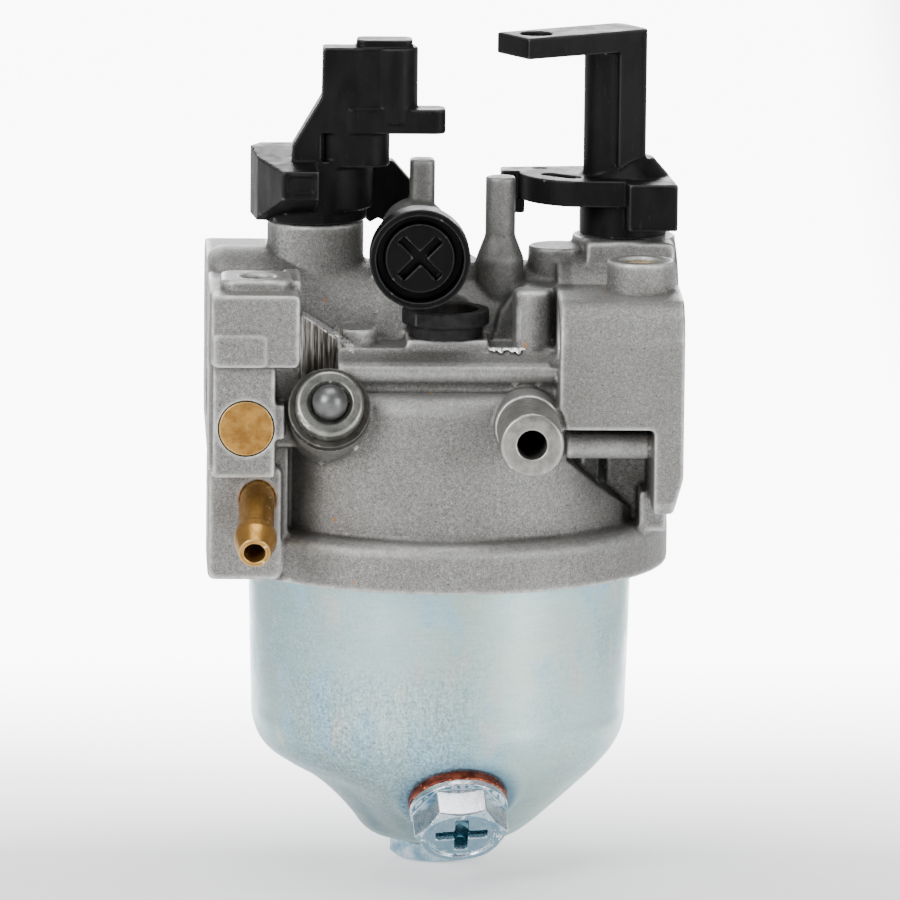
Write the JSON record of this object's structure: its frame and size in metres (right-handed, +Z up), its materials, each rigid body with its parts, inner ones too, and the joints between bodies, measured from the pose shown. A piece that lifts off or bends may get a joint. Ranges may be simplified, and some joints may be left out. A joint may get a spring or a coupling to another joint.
{
  "type": "float-bowl carburetor",
  "caption": "Small-engine float-bowl carburetor with throttle and choke levers on upright shafts, fuel inlet, vent barb, jets, float valve and drain bolt.",
  "frame": {"origin": "centre of the bore on the engine flange face", "axes": "+X along the bore to the air-cleaner face, +Z up along the throttle shaft, -Y towards the fuel inlet"},
  "size_m": [0.0573, 0.0652, 0.1032],
  "materials": {
    "casting": "as-cast die-cast aluminium, fine grain",
    "inlet_aluminium": "turned, slightly worn",
    "zinc_steel": "pressed steel, blue-white zinc plating, satin",
    "bright_zinc": "bright blue zinc plating",
    "brass": "turned brass, slightly oxidised",
    "copper": "soft copper sealing washer",
    "black_nylon": "moulded glass-filled nylon, satin",
    "black_rubber": "nitrile rubber",
    "gasket_rubber": "nitrile or fibre seal",
    "steel": "turned steel",
    "polished_steel": "polished steel ball",
    "dark_steel": "dark phosphated steel",
    "spring_steel": "drawn spring wire",
    "float_plastic": "closed-cell float plastic"
  },
  "bodies": {
    "body": {"body_casting": "casting", "throttle_shaft_seal": "black_rubber", "choke_shaft_seal": "black_rubber", "idle_speed_spring": "spring_steel", "pilot_jet": "brass", "pilot_jet_cap": "black_rubber", "air_jet": "brass", "main_jet": "brass", "emulsion_tube": "brass", "fuel_inlet_tube": "inlet_aluminium", "inlet_seat": "brass", "float_hinge_pin": "steel", "fuel_bowl": "zinc_steel", "bowl_gasket": "gasket_rubber", "bowl_bolt": "bright_zinc", "bowl_bolt_washer": "gasket_rubber", "drain_bolt": "bright_zinc", "drain_washer": "copper", "drain_boss_nut": "zinc_steel", "passage_plug_ring": "dark_steel", "passage_plug_sleeve": "steel", "passage_plug_ball": "polished_steel", "flange_brass_plug": "brass", "vent_barb": "brass"},
    "throttle": {"throttle_shaft": "steel", "throttle_lever": "black_nylon", "throttle_plate": "brass", "throttle_plate_screws": "steel"},
    "choke": {"choke_shaft": "steel", "choke_lever": "black_nylon", "choke_plate": "steel", "choke_plate_screws": "steel"},
    "float_arm": {"float": "float_plastic"},
    "needle": {"inlet_needle": "steel"},
    "idle_shank": {"idle_speed_shank": "steel"},
    "idle_knob": {"idle_speed_knob": "black_nylon"}
  },
  "joints": [
    {"name": "throttle_turn", "type": "hinge", "parent": "body", "child": "throttle", "pos_m": [0.0132, 0, 0], "axis": [0, 0, 1], "range_deg": [0, 75]},
    {"name": "choke_turn", "type": "hinge", "parent": "body", "child": "choke", "pos_m": [0.0508, 0, 0], "axis": [0, 0, -1], "range_deg": [0, 75]},
    {"name": "float_swing", "type": "hinge", "parent": "body", "child": "float_arm", "pos_m": [0.04216, -0.01393, -0.0205], "axis": [-0.7218, -0.6921, 0], "range_deg": [0, 7]},
    {"name": "needle_slide", "type": "slide", "parent": "body", "child": "needle", "axis": [0, 0, -1], "range_m": [0, 0.0007]},
    {"name": "idle_shank_slide", "type": "slide", "parent": "body", "child": "idle_shank", "axis": [0, -1, 0], "range_m": [0, 0.0014]},
    {"name": "idle_knob_turn", "type": "hinge", "parent": "idle_shank", "child": "idle_knob", "pos_m": [0.0254, -0.018, 0.0135], "axis": [0, -1, 0], "range_deg": [0, 720]}
  ],
  "couplings": [
    {"joint": "needle_slide", "follows": "float_swing", "m_per_rad": 0.0053},
    {"joint": "idle_knob_turn", "follows": "idle_shank_slide", "rad_per_m": 8976}
  ]
}
